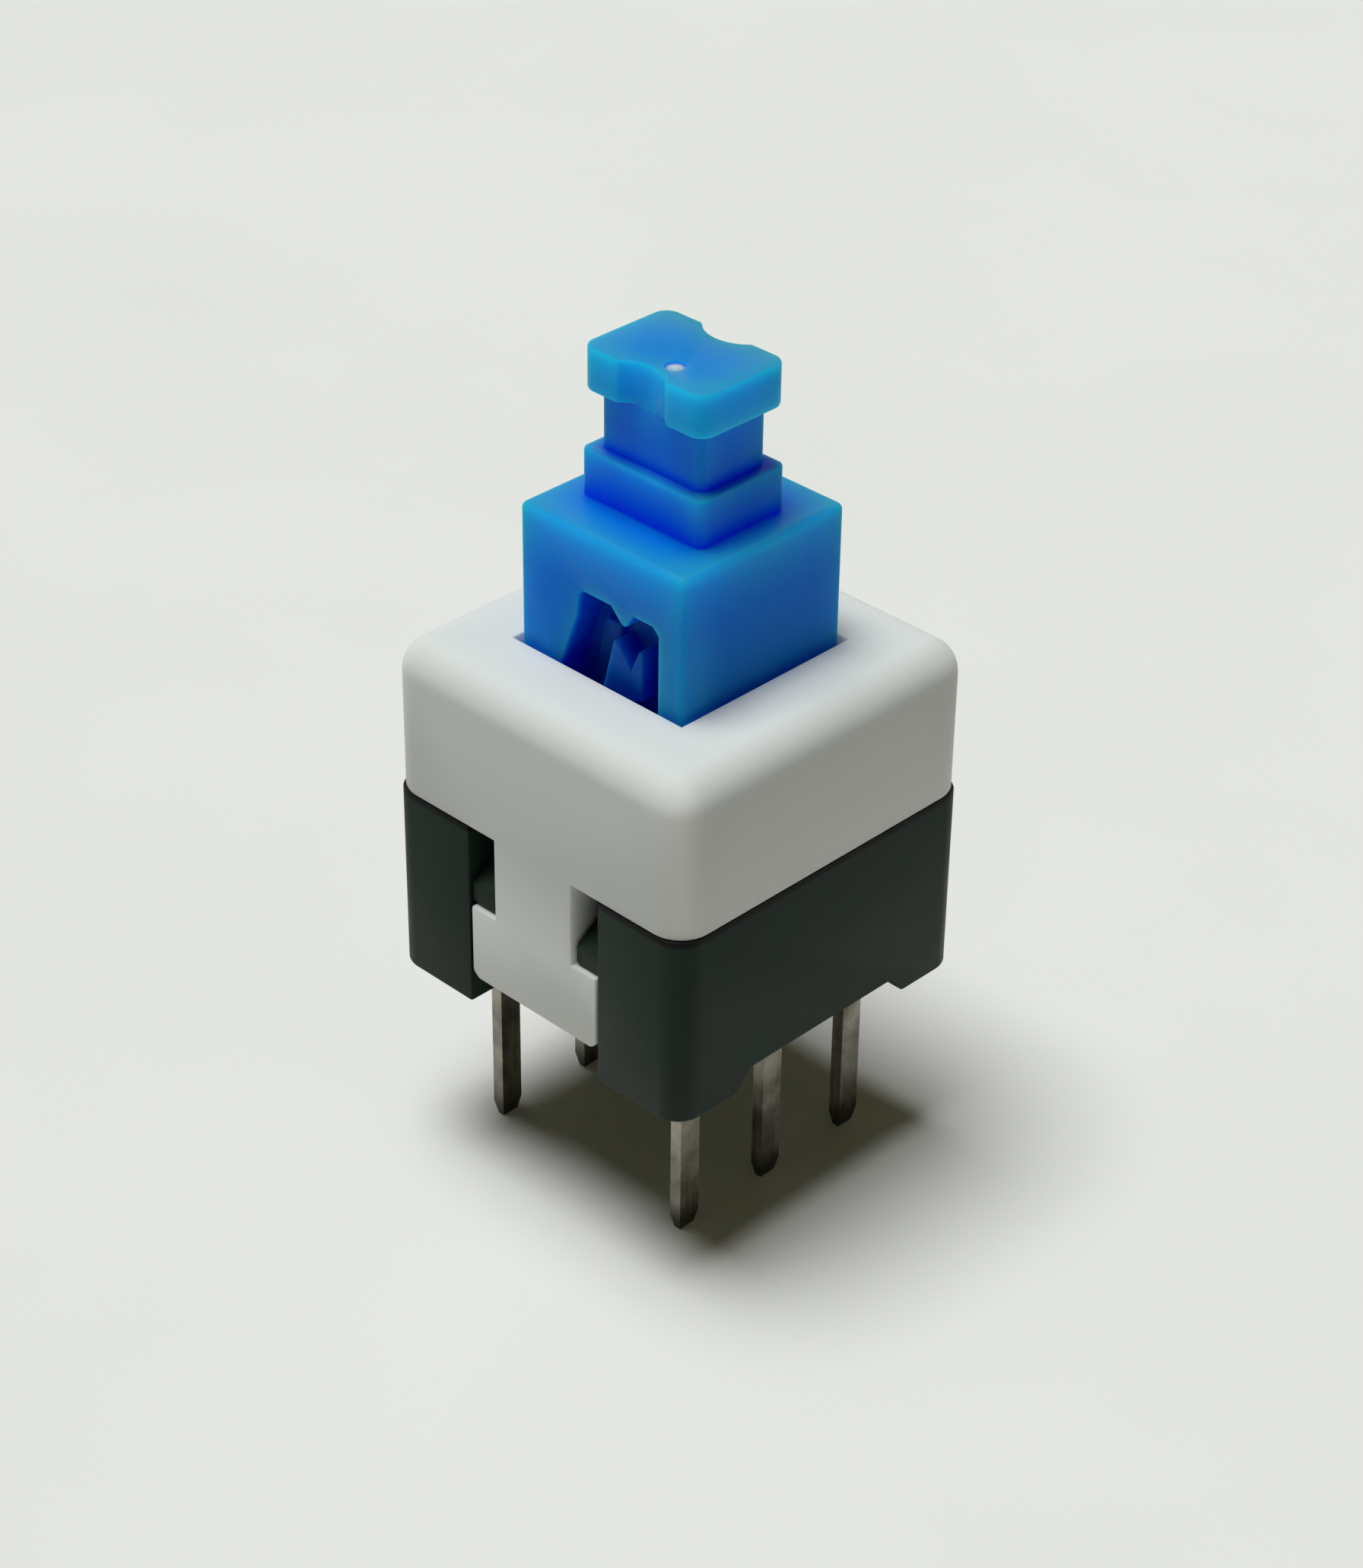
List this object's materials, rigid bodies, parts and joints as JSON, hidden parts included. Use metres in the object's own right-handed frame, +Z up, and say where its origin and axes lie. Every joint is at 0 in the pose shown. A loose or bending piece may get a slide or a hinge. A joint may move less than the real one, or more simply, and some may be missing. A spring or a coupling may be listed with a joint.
{
  "type": "latching push button switch",
  "caption": "Square-bodied latching push switch for a circuit board: sprung plunger with a waisted cap post, heart-cam latch, clipped cover and straight solder pins.",
  "frame": {"origin": "middle of the square body, at the level of the pins' tips", "axes": "+Z up along the plunger's travel; Y along the two rows of pins; the plunger's heart cam and the latch wire face -Y"},
  "size_m": [0.0086, 0.0086, 0.0188],
  "materials": {
    "cover_plastic": "satin off-white moulded plastic, slightly waxy",
    "base_plastic": "satin near-black glass-filled plastic",
    "plunger_plastic": "satin mid-blue moulded acetal, slightly translucent",
    "spring_steel": "bright drawn spring wire",
    "latch_wire": "bright drawn steel wire",
    "contact_bronze": "bare phosphor bronze strip",
    "tinned_strip": "tin-plated brass strip"
  },
  "bodies": {
    "housing": {"cover": "cover_plastic", "base": "base_plastic", "return_spring": "spring_steel", "terminal_left_no": "tinned_strip", "terminal_left_common": "tinned_strip", "terminal_left_nc": "tinned_strip", "terminal_right_no": "tinned_strip", "terminal_right_common": "tinned_strip", "terminal_right_nc": "tinned_strip"},
    "plunger": {"plunger": "plunger_plastic", "moving_contact_left": "contact_bronze", "moving_contact_right": "contact_bronze"},
    "latch": {"latch_pin": "latch_wire"}
  },
  "joints": [
    {"name": "plunger_press", "type": "slide", "parent": "housing", "child": "plunger", "axis": [0, 0, -1], "range_m": [0, 0.003], "stiffness_N_per_m": 600, "deforming": ["return_spring"]},
    {"name": "latch_pin_swing", "type": "hinge", "parent": "housing", "child": "latch", "pos_m": [-0.00075, -0.00263, 0.00645], "axis": [0, 1, 0], "range_deg": [0, 9.82]}
  ],
  "couplings": [
    {"joint": "latch_pin_swing", "follows": "plunger_press", "rad_per_m": 57.1}
  ]
}
